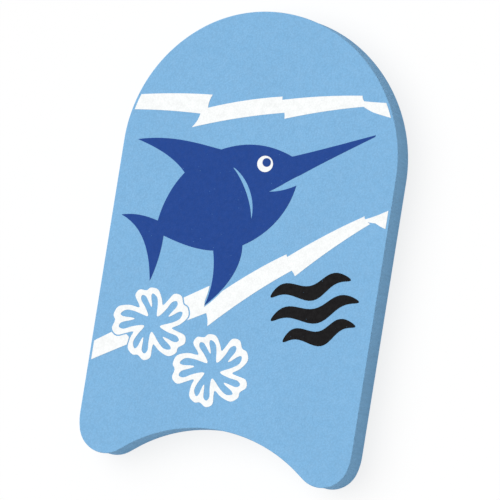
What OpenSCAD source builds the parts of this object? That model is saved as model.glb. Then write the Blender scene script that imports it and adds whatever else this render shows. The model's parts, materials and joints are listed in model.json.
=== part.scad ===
// Child's swimming kickboard. It is one die-cut slab of closed-cell EVA foam, decorated on
// its upper face with separate films of printing ink.
// Frame: the origin is the centre of the underside, +X runs across the board, +Y runs towards
// the rounded nose and +Z runs up through the slab. Lengths are in millimetres.

/* [Board] */
// Length from the tip of the nose to the ends of the tail lobes
board_length = 340; // [280:5:440]
// Width across the parallel sides
board_width = 210; // [180:1:260]
// Thickness of the foam slab
board_thickness = 30; // [20:1:40]

/* [Outline] */
// How much smaller the radius of the nose is than half the width
nose_tightening = 4; // [1:0.5:12]
// How much larger the radius of the shoulders is than half the width
shoulder_easing = 6; // [2:0.5:20]
// Radius of a tail lobe at its end
lobe_radius = 20.5; // [15:0.5:20.5]
// Distance from the side of the board to the lowest point of a lobe
lobe_inset = 21.5; // [21.5:0.5:24]
// How much larger the radius of a lobe is where it runs into the side
lobe_easing = 25; // [15:1:35]
// Depth of the body cut-out, from the ends of the lobes
notch_depth = 30; // [20:0.5:32]
// Largest radius of the body cut-out
notch_radius_limit = 110; // [80:1:140]

/* [Print] */
// Thickness of one film of ink
film_thickness = 0.2; // [0.1:0.05:0.4]
// Bare border between the waves and the edge of the face
print_margin = 2; // [1:0.5:6]
// Bare line round a flower or a fin where it crosses a wave
print_gap = 1; // [0.5:0.1:1.5]
// Size of the flowers, as a share of their normal size
flower_size = 1; // [0.7:0.05:1]
// Size of the ripple mark, as a share of its normal size
mark_size = 1; // [0.6:0.05:1.1]

/* [Hidden] */
$fn = 96;

half_length = board_length / 2;
half_width = board_width / 2;

foam_blue = [0.52, 0.73, 0.89];
ink_white = [0.98, 0.98, 0.98];
ink_navy = [0.17, 0.30, 0.58];
ink_black = [0.12, 0.11, 0.12];

// How far a cutting shape stands out of what it cuts
cut_margin = 1;

function mirrored(p) = [-p[0], p[1]];
function direction(angle) = [cos(angle), sin(angle)];
function turned(p, angle) = [
    p[0] * cos(angle) - p[1] * sin(angle),
    p[0] * sin(angle) + p[1] * cos(angle)
];

// ---------- outline of the slab ----------
// The outline is a chain of arcs and straights, each tangent to the next one. Angles are
// those of the line from an arc's centre to its end, and the names are for the +X half.

nose_radius = half_width - nose_tightening;
shoulder_radius = half_width + shoulder_easing;
nose_centre = [0, half_length - nose_radius];
nose_turn = acos(shoulder_easing / (shoulder_easing + nose_tightening));
shoulder_centre = nose_centre - (shoulder_easing + nose_tightening) * direction(nose_turn);

lobe_side_radius = lobe_radius + lobe_easing;
lobe_centre = [half_width - lobe_inset, lobe_radius - half_length];
lobe_side_turn = acos(1 - (lobe_inset - lobe_radius) / lobe_easing);
lobe_side_centre = lobe_centre - lobe_easing * direction(-lobe_side_turn);

// The cut-out leaves a short straight between its arc and each lobe.
notch_fit = 0.998;
notch_reach = pow(lobe_centre[0], 2) / (2 * notch_depth) + notch_depth / 2;
notch_radius = min(notch_radius_limit, notch_fit * notch_reach - lobe_radius);
notch_centre = [0, notch_depth - half_length - notch_radius];
lobe_reach = lobe_centre - notch_centre;
notch_turn = atan2(lobe_reach[1], lobe_reach[0])
    + acos((notch_radius + lobe_radius) / norm(lobe_reach));

// How many radii the triangle that cuts a sector reaches from the centre. At 4 it holds the whole
// arc of any sector narrower than 150 degrees.
sector_reach = 4;

// Prism over the sector of an arc, between two points of the arc.
module sector_prism(centre, radius, p, q, height) {
    intersection() {
        translate([centre[0], centre[1], 0]) cylinder(r = radius, h = height);
        linear_extrude(height)
            polygon([
                centre, centre + sector_reach * (p - centre), centre + sector_reach * (q - centre)
            ]);
    }
}

// Slab with the outline of the board moved inwards by inset.
module board_slab(height, inset = 0) {
    nose_r = nose_radius - inset;
    shoulder_r = shoulder_radius - inset;
    lobe_side_r = lobe_side_radius - inset;
    lobe_r = lobe_radius - inset;
    notch_r = notch_radius + inset;

    nose_end = nose_centre + nose_r * direction(nose_turn);
    side_top = shoulder_centre + shoulder_r * direction(0);
    side_end = lobe_side_centre + lobe_side_r * direction(0);
    lobe_side_end = lobe_side_centre + lobe_side_r * direction(-lobe_side_turn);
    lobe_end = lobe_centre - lobe_r * direction(notch_turn);
    notch_end = notch_centre + notch_r * direction(notch_turn);
    right = [nose_end, side_top, side_end, lobe_side_end, lobe_end, notch_end];
    left = [for (i = [len(right) - 1:-1:0]) mirrored(right[i])];

    difference() {
        union() {
            linear_extrude(height) polygon(concat(right, left));
            sector_prism(nose_centre, nose_r, nose_end, mirrored(nose_end), height);
            for (side = [0, 1]) mirror([side, 0, 0]) {
                sector_prism(shoulder_centre, shoulder_r, side_top, nose_end, height);
                sector_prism(lobe_side_centre, lobe_side_r, lobe_side_end, side_end, height);
                sector_prism(lobe_centre, lobe_r, lobe_end, lobe_side_end, height);
            }
        }
        translate([0, 0, -cut_margin])
            sector_prism(
                notch_centre, notch_r, notch_end, mirrored(notch_end), height + 2 * cut_margin
            );
    }
}

// ---------- drawing on the face ----------
// Artwork is drawn on a face of this size, with its origin at the middle, and stretched to the
// size of the board.

drawn_width = 210;
drawn_length = 340;
curve_steps = 16;

function on_face(p) = [p[0] * board_width / drawn_width, p[1] * board_length / drawn_length];
function all_on_face(points) = [for (p = points) on_face(p)];

// Curve from a to d with the handles b and c, without its last point.
function bezier(a, b, c, d, steps = curve_steps) = [
    for (i = [0:steps - 1])
        let (t = i / steps, s = 1 - t)
            s * s * s * a + 3 * s * s * t * b + 3 * s * t * t * c + t * t * t * d
];

// Open curve through anchors, each followed by the two handles of the curve that leaves it.
function open_curve(line) = [
    for (i = [0:3:len(line) - 4]) each bezier(line[i], line[i + 1], line[i + 2], line[i + 3]),
    line[len(line) - 1]
];

// Closed curve that passes smoothly through points.
function closed_curve(points, steps) = [
    for (i = [0:len(points) - 1])
        let (
            n = len(points),
            a = points[i],
            b = points[(i + 1) % n],
            slope_a = b - points[(i + n - 1) % n],
            slope_b = points[(i + 2) % n] - a
        )
            each bezier(a, a + slope_a / 6, b - slope_b / 6, b, steps)
];

// Closed line, drawn anticlockwise, moved outwards by a distance.
function grown(points, distance) = [
    for (i = [0:len(points) - 1])
        let (
            n = len(points),
            along = points[(i + 1) % n] - points[(i + n - 1) % n],
            out = [along[1], -along[0]] / norm(along)
        )
            points[i] + distance * out
];

// Film of ink inside an edge. An opening in it shows the foam.
module film(edge, opening = []) {
    n = len(edge);
    translate([0, 0, board_thickness])
        linear_extrude(film_thickness)
            polygon(
                all_on_face(concat(edge, opening)),
                [
                    [for (i = [0:n - 1]) i],
                    if (len(opening) > 0) [for (i = [0:len(opening) - 1]) n + i]
                ]
            );
}

// Prism through a film, used to leave the foam bare.
module bare(edge) {
    translate([0, 0, board_thickness - cut_margin])
        linear_extrude(film_thickness + 2 * cut_margin)
            polygon(all_on_face(edge));
}

// ---------- waves ----------
// Each wave is four brush strokes that overlap end to end. The outer ones are drawn past the sides
// of the board and trimmed.

// How far the torn end of a stroke is scooped out, and how far a round end stands out
torn_end = 2;
round_end = -3;

// Curve from a to b that leans aside by lean, without its last point.
function leaning(a, b, lean) =
    bezier(a, a + (b - a) / 3 + lean, b + (a - b) / 3 + lean, b);

// Brush stroke between four corners. Its long edges bow upwards.
function brush_stroke(top_left, top_right, low_right, low_left, bow, left_end = torn_end) = concat(
    leaning(top_right, top_left, [0, bow]),
    leaning(top_left, low_left, [left_end, 0]),
    leaning(low_left, low_right, [0, bow]),
    leaning(low_right, top_right, [-torn_end, 0])
);

upper_strokes = [
    brush_stroke([-106, 94], [-43, 103], [-44, 88], [-108, 83], 1.5),
    brush_stroke([-50, 91], [10, 109], [16, 98], [-55, 77], 2),
    brush_stroke([8, 106], [70, 118], [76, 111], [14, 93], 1.5),
    brush_stroke([67, 114], [110, 118], [112, 104], [80, 107], -1, round_end)
];

lower_strokes = [
    brush_stroke([-116, -98], [-20, -35], [-15, -53], [-116, -111], 1),
    brush_stroke([-25, -51], [32, -5], [41, -14], [-19, -66], 3),
    brush_stroke([29, -10], [86, 31], [91, 26], [41, -20], 2),
    brush_stroke([82, 27], [112, 44], [112, 24], [95, 27], -2, round_end)
];

// Film of a wave's strokes, inside the bare border.
module wave_film(strokes) {
    intersection() {
        union() for (stroke = strokes) film(stroke);
        translate([0, 0, board_thickness - cut_margin])
            board_slab(film_thickness + 2 * cut_margin, print_margin);
    }
}

// ---------- flowers ----------
// Each flower is a rim round one opening, with five petals that lean over towards their tips.
// White fingers point inwards between the petals and from the middle of each petal's tip.

flower_radius = 29 * flower_size;
flower_steps = 4;
petal_lengths = [1, 0.9, 1.04, 0.93, 0.98];
petal_pitch = 360 / len(petal_lengths);
petal_lean = 18;

// A petal's edge and its part of the opening run through these points. Each is an angle from
// the middle of the petal, and a share of the petal's length.
petal_edge = [
    [-29, 0.74], [-21, 0.96], [-9, 1.01], [0, 0.95], [10, 1.03], [22, 0.94], [29, 0.7]
];
petal_opening = [
    [-25, 0.32], [-21, 0.54], [-18, 0.74], [-10, 0.84], [-5, 0.76],
    [-3, 0.54], [0, 0.46], [4, 0.54],
    [6, 0.78], [12, 0.85], [19, 0.74], [21, 0.52], [25, 0.3]
];
// Between two petals lie a point of the edge and the tip of a finger. The bare line between the
// flower and a wave doesn't go as far in as the edge does.
valley = [petal_pitch / 2, 0.54];
bare_valley = [petal_pitch / 2, 0.68];
finger_tip = [petal_pitch / 2, 0.22];

left_flower = [-61, -70];
left_flower_angle = 22;
right_flower = [-10, -97];
right_flower_angle = 26;

// Closed curve through the points of every petal and the points between the petals.
function flower_line(centre, angle, petal, between) =
    closed_curve(
        [
            for (k = [0:len(petal_lengths) - 1]) each [
                for (p = petal) flower_point(centre, angle + petal_pitch * k, p, petal_lengths[k]),
                flower_point(centre, angle + petal_pitch * k, between, 1)
            ]
        ],
        flower_steps
    );

function flower_point(centre, angle, p, length) =
    centre + flower_radius * length * p[1] * direction(angle + p[0] + petal_lean * length * p[1]);

module flower_film(centre, angle) {
    film(
        flower_line(centre, angle, petal_edge, valley),
        flower_line(centre, angle, petal_opening, finger_tip)
    );
}

// ---------- fish ----------
// The fish is drawn heading along +X about the middle of its body, then turned and moved.
// Its side runs anticlockwise from the tip of the bill, over the back and round the tail.

fish_centre = [-20, 28];
fish_angle = 31;

fish_side = [
    [122, 0], [102, 3], [80, 6], [58, 10],
    [47, 24], [32, 34], [10, 36],
    [-2, 45], [-20, 61], [-46, 68],
    [-34, 56], [-25, 44], [-22, 31],
    [-36, 25], [-46, 16], [-54, 6],
    [-60, 12], [-67, 18], [-78, 21],
    [-68, 9], [-66, -8], [-76, -33],
    [-67, -25], [-59, -15], [-54, -6],
    [-44, -17], [-34, -26], [-23, -31],
    [-26, -42], [-32, -55], [-44, -66],
    [-20, -60], [-6, -48], [-1, -36],
    [22, -36], [41, -26], [53, -11],
    [46, -11], [39, -10], [32, -7],
    [40, -7], [50, -5], [59, -5],
    [80, -3], [102, -2], [121, -1]
];
fish_gill = [
    [14, 20], [21, 9], [21, -9], [12, -21],
    [17, -9], [17, 9], [13.6, 19.6]
];
fish_eye = [37, 13];
eye_radius = 6;
fish_pupil = [38.5, 13.5];
pupil_radius = 3.2;

function on_fish(p) = fish_centre + turned(p, fish_angle);
function all_on_fish(points) = [for (p = points) on_fish(p)];

fish_edge = all_on_fish(open_curve(fish_side));

// Round spot on the fish, above a number of other films.
module spot(centre, radius, films_below) {
    place = on_face(on_fish(centre));
    translate([place[0], place[1], board_thickness + films_below * film_thickness])
        cylinder(r = radius, h = film_thickness);
}

// ---------- ripple mark ----------
// Three wavy lines, each thinning to a point at both ends.

mark_centre = [60, -43];
mark_angle = 20;
ripple_lengths = [62, 68, 56];
ripple_pitch = 17;
ripple_height = 11;
ripple_swing = 3.6;
ripple_turns = 1.5;
ripple_steps = 32;

// Point of a ripple at share s of its length, on its upper side (1) or its lower side (-1).
function ripple_point(length, s, side) = [
    length * (s - 0.5),
    ripple_swing * sin(360 * ripple_turns * s) + side * ripple_height / 2 * sqrt(sin(180 * s))
];

// The points lie closer together towards the ends.
function ripple(length) = [
    for (i = [ripple_steps:-1:1]) ripple_point(length, ripple_share(i), 1),
    for (i = [0:ripple_steps - 1]) ripple_point(length, ripple_share(i), -1)
];

function ripple_share(i) = (1 - cos(180 * i / ripple_steps)) / 2;

module ripple_film(length, rise) {
    film([
        for (p = ripple(length)) mark_centre + mark_size * turned(p + [0, rise], mark_angle)
    ]);
}

// ---------- sub-parts ----------

module foam_board() {
    color(foam_blue) board_slab(board_thickness);
}

module upper_wave_print() {
    color(ink_white) wave_film(upper_strokes);
}

module lower_wave_print() {
    color(ink_white)
        difference() {
            wave_film(lower_strokes);
            bare(grown(
                flower_line(left_flower, left_flower_angle, petal_edge, bare_valley),
                print_gap
            ));
            bare(grown(fish_edge, print_gap));
        }
}

module left_flower_print() {
    color(ink_white) flower_film(left_flower, left_flower_angle);
}

module right_flower_print() {
    color(ink_white) flower_film(right_flower, right_flower_angle);
}

module fish_print() {
    color(ink_navy) film(fish_edge, all_on_fish(open_curve(fish_gill)));
}

module fish_eye_print() {
    color(ink_white) spot(fish_eye, eye_radius, 1);
}

module fish_pupil_print() {
    color(ink_navy) spot(fish_pupil, pupil_radius, 2);
}

module wave_mark_print() {
    color(ink_black)
        for (i = [0:len(ripple_lengths) - 1]) ripple_film(ripple_lengths[i], (1 - i) * ripple_pitch);
}

foam_board();
upper_wave_print();
lower_wave_print();
left_flower_print();
right_flower_print();
fish_print();
fish_eye_print();
fish_pupil_print();
wave_mark_print();
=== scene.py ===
"""Looks of a child's swimming kickboard: a die-cut slab of closed-cell EVA foam with printed ink.

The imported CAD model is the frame. +X runs across the board, +Y towards its rounded nose and +Z out
of its printed face. Lengths are in metres.
"""

import json
import math

import bmesh
import bpy
from mathutils import Matrix, Vector


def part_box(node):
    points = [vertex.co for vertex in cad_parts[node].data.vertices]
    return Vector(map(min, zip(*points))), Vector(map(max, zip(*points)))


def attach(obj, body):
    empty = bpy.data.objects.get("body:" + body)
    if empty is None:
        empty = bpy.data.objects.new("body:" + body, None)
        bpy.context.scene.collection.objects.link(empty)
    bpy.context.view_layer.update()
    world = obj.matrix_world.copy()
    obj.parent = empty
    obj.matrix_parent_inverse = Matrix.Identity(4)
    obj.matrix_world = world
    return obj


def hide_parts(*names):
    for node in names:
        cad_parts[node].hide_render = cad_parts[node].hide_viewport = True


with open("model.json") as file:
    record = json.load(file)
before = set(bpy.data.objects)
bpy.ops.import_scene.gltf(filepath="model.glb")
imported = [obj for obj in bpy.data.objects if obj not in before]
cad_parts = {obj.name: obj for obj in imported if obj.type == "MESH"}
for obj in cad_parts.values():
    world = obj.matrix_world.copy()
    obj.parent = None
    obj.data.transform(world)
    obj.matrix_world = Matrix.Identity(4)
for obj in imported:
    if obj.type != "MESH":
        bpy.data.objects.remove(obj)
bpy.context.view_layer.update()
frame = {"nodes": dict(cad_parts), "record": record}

MM = 0.001


# ---------- foam slab ----------
# The outline is a chain of arcs and straights, each tangent to the next one. Its length, width
# and thickness come from the CAD slab.

slab_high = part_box("foam_board")[1]
half_length = slab_high.y
half_width = slab_high.x
thickness = slab_high.z

nose_tightening = 4 * MM
shoulder_easing = 6 * MM
lobe_radius = 20.5 * MM
lobe_inset = 21.5 * MM
lobe_easing = 25 * MM
notch_depth = 30 * MM
notch_radius = 110 * MM

edge_round = 0.6 * MM
wall_hollow = 0.35 * MM
outline_step = 2.0 * MM
round_steps = 5
wall_steps = 8


def direction(angle):
    return Vector((math.cos(angle), math.sin(angle)))


def arc(centre, radius, start, end, outward=1):
    """(point, outward normal) pairs along an arc, without its last point."""
    count = max(2, math.ceil(abs(end - start) * radius / outline_step))
    angles = [start + (end - start) * i / count for i in range(count)]
    return [(centre + radius * direction(a), outward * direction(a)) for a in angles]


def straight(start, end, normal):
    """(point, outward normal) pairs along a straight, without its last point."""
    count = max(2, math.ceil((end - start).length / outline_step))
    return [(start.lerp(end, i / count), normal) for i in range(count)]


def right_outline():
    """The +X half of the outline, from the middle of the cut-out to the tip of the nose."""
    nose_radius = half_width - nose_tightening
    shoulder_radius = half_width + shoulder_easing
    nose_turn = math.acos(shoulder_easing / (shoulder_easing + nose_tightening))
    nose = Vector((0, half_length - nose_radius))
    shoulder = nose - (shoulder_easing + nose_tightening) * direction(nose_turn)

    lobe = Vector((half_width - lobe_inset, lobe_radius - half_length))
    lobe_turn = math.acos(1 - (lobe_inset - lobe_radius) / lobe_easing)
    lobe_side = lobe - lobe_easing * direction(-lobe_turn)

    notch = Vector((0, notch_depth - half_length - notch_radius))
    reach = lobe - notch
    notch_turn = math.atan2(reach.y, reach.x) + math.acos((notch_radius + lobe_radius) / reach.length)

    quarter = math.pi / 2
    return (
        arc(notch, notch_radius, quarter, notch_turn, outward=-1)
        + straight(
            notch + notch_radius * direction(notch_turn),
            lobe - lobe_radius * direction(notch_turn),
            -direction(notch_turn),
        )
        + arc(lobe, lobe_radius, notch_turn - 2 * quarter, -lobe_turn)
        + arc(lobe_side, lobe_radius + lobe_easing, -lobe_turn, 0)
        + straight(Vector((half_width, lobe_side.y)), Vector((half_width, shoulder.y)), Vector((1, 0)))
        + arc(shoulder, shoulder_radius, 0, nose_turn)
        + arc(nose, nose_radius, nose_turn, quarter)
    )


def full_outline():
    """The whole outline, anticlockwise from the middle of the cut-out."""
    right = right_outline()
    tip = (Vector((0, half_length)), Vector((0, 1)))
    flip = Vector((-1, 1))
    left = [(p * flip, n * flip) for p, n in reversed(right[1:])]
    return right + [tip] + left


def wall_profile():
    """(distance inside the outline, height) pairs from the underside up to the face."""
    top = []
    for i in range(round_steps + 1):
        turn = math.pi / 2 * i / round_steps
        top.append((edge_round * (1 - math.cos(turn)), thickness - edge_round * (1 - math.sin(turn))))
    bottom = [(inset, thickness - z) for inset, z in reversed(top)]
    wall = []
    for i in range(1, wall_steps):
        share = i / wall_steps
        z = edge_round + (thickness - 2 * edge_round) * share
        wall.append((wall_hollow * math.sin(math.pi * share), z))
    return bottom + wall + top


def foam_slab():
    """The slab, with softened edges and a wall that the cutting die has left a little hollow."""
    mesh = bpy.data.meshes.new("foam_slab")
    bm = bmesh.new()
    outline = full_outline()
    profile = wall_profile()
    rings = []
    for inset, z in profile:
        ring = [bm.verts.new((p - inset * n).to_3d() + Vector((0, 0, z))) for p, n in outline]
        rings.append(ring)
    count = len(outline)
    for row, (lower, upper) in enumerate(zip(rings, rings[1:])):
        for i in range(count):
            j = (i + 1) % count
            face = bm.faces.new((lower[i], lower[j], upper[j], upper[i]))
            face.smooth = True
            face.material_index = int(round_steps <= row < len(rings) - 1 - round_steps)
    underside = bm.faces.new(list(reversed(rings[0])))
    top = bm.faces.new(rings[-1])
    bm.normal_update()
    bmesh.ops.triangulate(bm, faces=[underside, top])
    bm.to_mesh(mesh)
    bm.free()
    slab = bpy.data.objects.new("foam_slab", mesh)
    bpy.context.scene.collection.objects.link(slab)
    return slab


# ---------- materials ----------


def srgb(red, green, blue):
    """A linear colour from display values between 0 and 255."""
    linear = []
    for value in (red, green, blue):
        share = value / 255
        linear.append(share / 12.92 if share <= 0.04045 else ((share + 0.055) / 1.055) ** 2.4)
    return (*linear, 1.0)


foam_colour = srgb(118, 171, 212)
worn_colour = srgb(150, 196, 228)
ink_colours = {
    "white_ink": srgb(236, 238, 238),
    "navy_ink": srgb(27, 65, 138),
    "black_ink": srgb(10, 8, 10),
}


class Nodes:
    """A material's node tree, with short calls to add nodes to it."""

    def __init__(self, name):
        self.material = bpy.data.materials.new(name)
        self.material.use_nodes = True
        self.tree = self.material.node_tree
        self.tree.nodes.clear()
        self.place = self.add("ShaderNodeTexCoord").outputs["Object"]

    def add(self, kind, inputs=None, **settings):
        """One node. An input is a number, a colour or another node's output."""
        node = self.tree.nodes.new(kind)
        for name, value in settings.items():
            setattr(node, name, value)
        for name, value in (inputs or {}).items():
            if isinstance(value, bpy.types.NodeSocket):
                self.tree.links.new(value, node.inputs[name])
            else:
                node.inputs[name].default_value = value
        return node

    def noise(self, size, detail=2.0, roughness=0.5):
        """Noise between 0 and 1 whose blobs are about this size."""
        inputs = {"Vector": self.place, "Scale": 1 / size, "Detail": detail, "Roughness": roughness}
        return self.add("ShaderNodeTexNoise", inputs).outputs["Fac"]

    def cells(self, size, smooth=0.4):
        """Rounded cells of about this size: 0 at their middles, and about 1 between them."""
        inputs = {"Vector": self.place, "Scale": 1 / size, "Smoothness": smooth}
        return self.add("ShaderNodeTexVoronoi", inputs, feature="SMOOTH_F1").outputs["Distance"]

    def math(self, operation, a, b=0.0):
        node = self.add("ShaderNodeMath", {0: a, 1: b}, operation=operation)
        return node.outputs[0]

    def product(self, first, *others):
        for other in others:
            first = self.math("MULTIPLY", first, other)
        return first

    def remap(self, value, low, high, new_low, new_high):
        inputs = {"Value": value, 1: low, 2: high, 3: new_low, 4: new_high}
        return self.add("ShaderNodeMapRange", inputs).outputs["Result"]

    def mix(self, share, a, b):
        node = self.add("ShaderNodeMix", {0: share, 6: a, 7: b}, data_type="RGBA")
        return node.outputs[2]

    def shade(self, colour, value):
        """The colour times a number that varies about 1."""
        inputs = {0: colour[:3], "Scale": value}
        scaled = self.add("ShaderNodeVectorMath", inputs, operation="SCALE")
        return scaled.outputs[0]

    def bump(self, height, depth, normal=None):
        inputs = {"Height": height, "Distance": depth, "Strength": 1.0}
        if normal is not None:
            inputs["Normal"] = normal
        return self.add("ShaderNodeBump", inputs).outputs["Normal"]

    def finish(self, inputs):
        shader = self.add("ShaderNodeBsdfPrincipled", inputs)
        out = self.add("ShaderNodeOutputMaterial")
        self.tree.links.new(shader.outputs[0], out.inputs["Surface"])
        return self.material


skin_relief = 0.24 * MM
skin_waviness = 0.15 * MM
cut_relief = 0.35 * MM
ink_relief = 0.14 * MM


def skin_cells(nodes):
    return nodes.cells(1.3 * MM, 0.2)


def foam_skin_height(nodes):
    """Fine pebbled skin of pressed EVA: small cells with a finer grain on them."""
    pebbles = nodes.math("MULTIPLY", skin_cells(nodes), -0.6)
    grain = nodes.math("MULTIPLY", nodes.noise(0.45 * MM, 3.0), 0.4)
    return nodes.math("ADD", pebbles, grain)


def skin_normal(nodes, relief):
    """The skin's pebbles over the slow unevenness of soft foam."""
    wavy = nodes.bump(nodes.noise(14 * MM, 1.0), skin_waviness)
    return nodes.bump(foam_skin_height(nodes), relief, wavy)


def rounding_wear(nodes):
    """Share of worn skin, up to a half, in patches on the rounded edges that handling rubs."""
    height = nodes.add("ShaderNodeSeparateXYZ", {0: nodes.place}).outputs["Z"]
    level = nodes.math("ABSOLUTE", nodes.math("SUBTRACT", height, thickness / 2))
    face_level = thickness / 2
    rounding = nodes.remap(level, face_level - edge_round, face_level - edge_round / 5, 1.0, 0.0)
    patches = nodes.remap(nodes.noise(5 * MM, 4.0), 0.45, 0.6, 0.1, 0.5)
    return nodes.product(rounding, patches)


def foam_skin():
    """The face and the underside: matt, finely pebbled, with faint cloudiness, painted light and shade
    on the pebbles and rare dark specks of painted shade for pore holes.
    """
    nodes = Nodes("foam_skin")
    cloud = nodes.remap(nodes.noise(40 * MM, 3.0), 0.3, 0.7, 0.985, 1.015)
    speckle = nodes.remap(nodes.noise(0.7 * MM, 2.0), 0.25, 0.75, 0.96, 1.04)
    # painted light and shade: the skin is a little lighter on its pebbles and darker in the crevices
    # between them
    pebbles = nodes.remap(skin_cells(nodes), 0.1, 0.75, 1.04, 0.92)
    # painted shade: sparse dark specks stand for the shade inside pore holes, which the relief does
    # not have
    painted_pore_shade = nodes.remap(nodes.cells(3.1 * MM, 0.0), 0.05, 0.11, 0.85, 1.0)
    tone = nodes.product(cloud, speckle, pebbles, painted_pore_shade)
    return nodes.finish(
        {
            "Base Color": nodes.mix(rounding_wear(nodes), nodes.shade(foam_colour, tone), worn_colour),
            "Roughness": nodes.remap(nodes.noise(6 * MM, 3.0), 0.3, 0.7, 0.55, 0.75),
            "Specular IOR Level": 0.3,
            "Sheen Weight": 0.1,
            "Normal": skin_normal(nodes, skin_relief),
        }
    )


def foam_cut():
    """The die-cut wall: relief of cut cells and faint drag lines left by the blade, with painted shade
    in the cells' hollows and along the drag lines' grooves.
    """
    nodes = Nodes("foam_cut")
    stretched = nodes.add("ShaderNodeMapping", {"Vector": nodes.place, "Scale": (1.0, 1.0, 0.06)})
    drag_inputs = {"Vector": stretched.outputs[0], "Scale": 1 / (1.6 * MM), "Detail": 3.0}
    drag = nodes.add("ShaderNodeTexNoise", drag_inputs).outputs["Fac"]
    opened = nodes.cells(0.9 * MM, 0.15)
    # painted shade: dark blotches in the middles of larger cells stand for the shade in their hollows
    painted_large_cell_shade = nodes.remap(nodes.cells(2.6 * MM, 0.0), 0.06, 0.2, 0.8, 1.0)
    # painted shade: the tone darkens where the drag lines' relief is low and in the middles of the cut
    # cells, where their bump is hollow
    tone = nodes.product(
        nodes.remap(drag, 0.3, 0.7, 0.95, 1.05),
        nodes.remap(opened, 0.1, 0.7, 0.9, 1.05),
        painted_large_cell_shade,
    )
    streaked = nodes.bump(drag, 0.15 * MM)
    return nodes.finish(
        {
            "Base Color": nodes.shade(foam_colour, tone),
            "Roughness": 0.82,
            "Specular IOR Level": 0.2,
            "Normal": nodes.bump(opened, cut_relief, streaked),
        }
    )


def printed_ink(name):
    """A satin film of ink that takes the foam's grain, with painted light and shade on the grain's
    pebbles and a few pinholes down to the foam.
    """
    nodes = Nodes(name)
    density = nodes.remap(nodes.noise(5 * MM, 4.0), 0.3, 0.7, 0.96, 1.04)
    # painted light and shade: the ink is a little lighter on the foam's pebbles and darker in the
    # crevices between them
    painted_pebble_shading = nodes.remap(skin_cells(nodes), 0.1, 0.75, 1.02, 0.95)
    ink = nodes.shade(ink_colours[name], nodes.product(density, painted_pebble_shading))
    pinholes = nodes.remap(nodes.cells(4.3 * MM, 0.0), 0.03, 0.06, 0.6, 0.0)
    return nodes.finish(
        {
            "Base Color": nodes.mix(pinholes, ink, foam_colour),
            "Roughness": nodes.remap(nodes.noise(3 * MM, 3.0), 0.3, 0.7, 0.4, 0.55),
            "Specular IOR Level": 0.07,
            "Normal": skin_normal(nodes, ink_relief),
        }
    )


# ---------- printed films ----------
# The CAD films keep their shape. Their edges are softened a little, as ink's edges are.

film_edge_round = 0.09 * MM
film_edge_steps = 2
film_edge_angle = 50
film_weld = 0.005 * MM


def finish_film(name, material):
    film = frame["nodes"][name]
    film.data.materials.clear()
    film.data.materials.append(material)
    weld = film.modifiers.new("weld", "WELD")
    weld.merge_threshold = film_weld
    bevel = film.modifiers.new("bevel", "BEVEL")
    bevel.width = film_edge_round
    bevel.segments = film_edge_steps
    bevel.limit_method = "ANGLE"
    bevel.angle_limit = math.radians(film_edge_angle)


# ---------- the object ----------

slab = foam_slab()
slab.data.materials.append(foam_skin())
slab.data.materials.append(foam_cut())
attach(slab, "root")
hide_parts("foam_board")

inks = {name: printed_ink(name) for name in ink_colours}
for part in frame["record"]["subparts"]:
    if part["material_slot"] in inks:
        finish_film(part["node"], inks[part["material_slot"]])


# ---------- studio ----------

floor_gap = 0.2 * MM
floor_size = 24.0
floor_shift = 4.0
floor_colour = (0.9, 0.9, 0.9, 1.0)
floor_cloud = 0.35
white = (1.0, 1.0, 1.0, 1.0)
floor_glow = 0.8


def floor():
    """A pale floor with faint shadows. It can't be seen from below, and it is shifted so that the
    board lies well inside one of its two triangles."""
    bpy.ops.mesh.primitive_plane_add(size=floor_size, location=(floor_shift, 0, -floor_gap))
    plane = bpy.context.object
    plane.name = "floor"
    nodes = Nodes("floor")
    tone = nodes.remap(nodes.noise(floor_cloud, 2.0), 0.3, 0.7, 0.995, 1.0)
    paper = nodes.add(
        "ShaderNodeBsdfDiffuse", {"Color": nodes.shade(floor_colour, tone), "Roughness": 0.5}
    )
    glow = nodes.add("ShaderNodeEmission", {"Color": white, "Strength": 1.0})
    lit = nodes.add(
        "ShaderNodeMixShader", {0: floor_glow, 1: paper.outputs[0], 2: glow.outputs[0]}
    )
    clear = nodes.add("ShaderNodeBsdfTransparent")
    side = nodes.add("ShaderNodeNewGeometry").outputs["Backfacing"]
    mixed = nodes.add("ShaderNodeMixShader", {0: side, 1: lit.outputs[0], 2: clear.outputs[0]})
    out = nodes.add("ShaderNodeOutputMaterial")
    nodes.tree.links.new(mixed.outputs[0], out.inputs["Surface"])
    plane.data.materials.append(nodes.material)


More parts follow.
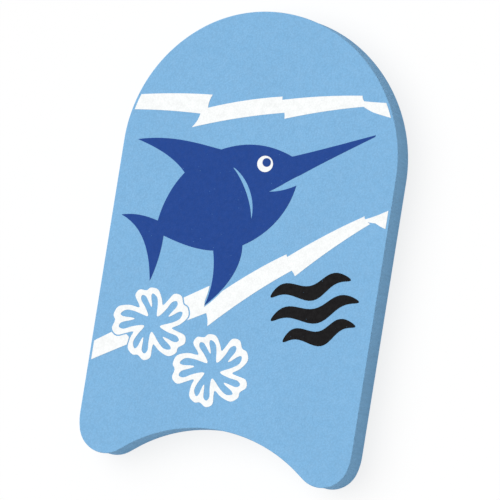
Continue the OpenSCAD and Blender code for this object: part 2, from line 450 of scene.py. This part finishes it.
def soft_light(name, azimuth, elevation, spread, strength):
    """A broad, even light from one direction. Azimuth 0 lights the board from its tail."""
    light = bpy.data.lights.new(name, "SUN")
    light.angle = math.radians(spread)
    light.energy = strength
    lamp = bpy.data.objects.new(name, light)
    bpy.context.scene.collection.objects.link(lamp)
    lamp.rotation_mode = "QUATERNION"
    lamp.rotation_quaternion = towards(azimuth, elevation).to_track_quat("Z", "Y")


def towards(azimuth, elevation):
    """Unit vector from the board to a viewer. Azimuth 0 is off its tail, and 90 off its right side."""
    a = math.radians(azimuth)
    e = math.radians(elevation)
    return Vector((math.sin(a) * math.cos(e), -math.cos(a) * math.cos(e), math.sin(e)))


def surroundings(strength):
    """White surroundings that light the board less than they show behind it."""
    world = bpy.data.worlds.new("studio")
    bpy.context.scene.world = world
    world.use_nodes = True
    tree = world.node_tree
    background = tree.nodes["Background"]
    background.inputs["Color"].default_value = white
    seen = tree.nodes.new("ShaderNodeLightPath").outputs["Is Camera Ray"]
    level = tree.nodes.new("ShaderNodeMapRange")
    level.inputs["To Min"].default_value = strength
    level.inputs["To Max"].default_value = 1.0
    tree.links.new(seen, level.inputs["Value"])
    tree.links.new(level.outputs["Result"], background.inputs["Strength"])


floor()
surroundings(0.35)
soft_light("key", azimuth=250, elevation=64, spread=60, strength=2.86)
bpy.context.scene.view_settings.view_transform = "Standard"


# ---------- camera ----------
# A long lens looks steeply down on the printed face, with the nose turned to the picture's top.

view_azimuth = 83.8
view_elevation = 73.8
view_roll = -74.9
view_distance = 5.0
frame_width = 0.3677
view_depth = 100.0
aim_right = -1.2 * MM
aim_up = -5.3 * MM


def camera():
    data = bpy.data.cameras.new("camera")
    made = bpy.data.objects.new("camera", data)
    bpy.context.scene.collection.objects.link(made)
    bpy.context.scene.camera = made
    back = towards(view_azimuth, view_elevation)
    turn = back.to_track_quat("Z", "Y").to_matrix() @ Matrix.Rotation(math.radians(view_roll), 3, "Z")
    middle = Vector((0, 0, thickness / 2))
    aim = middle + turn @ Vector((aim_right, aim_up, 0))
    made.matrix_world = Matrix.Translation(aim + view_distance * back) @ turn.to_4x4()
    data.lens = data.sensor_width * view_distance / frame_width
    data.clip_end = view_depth


camera()
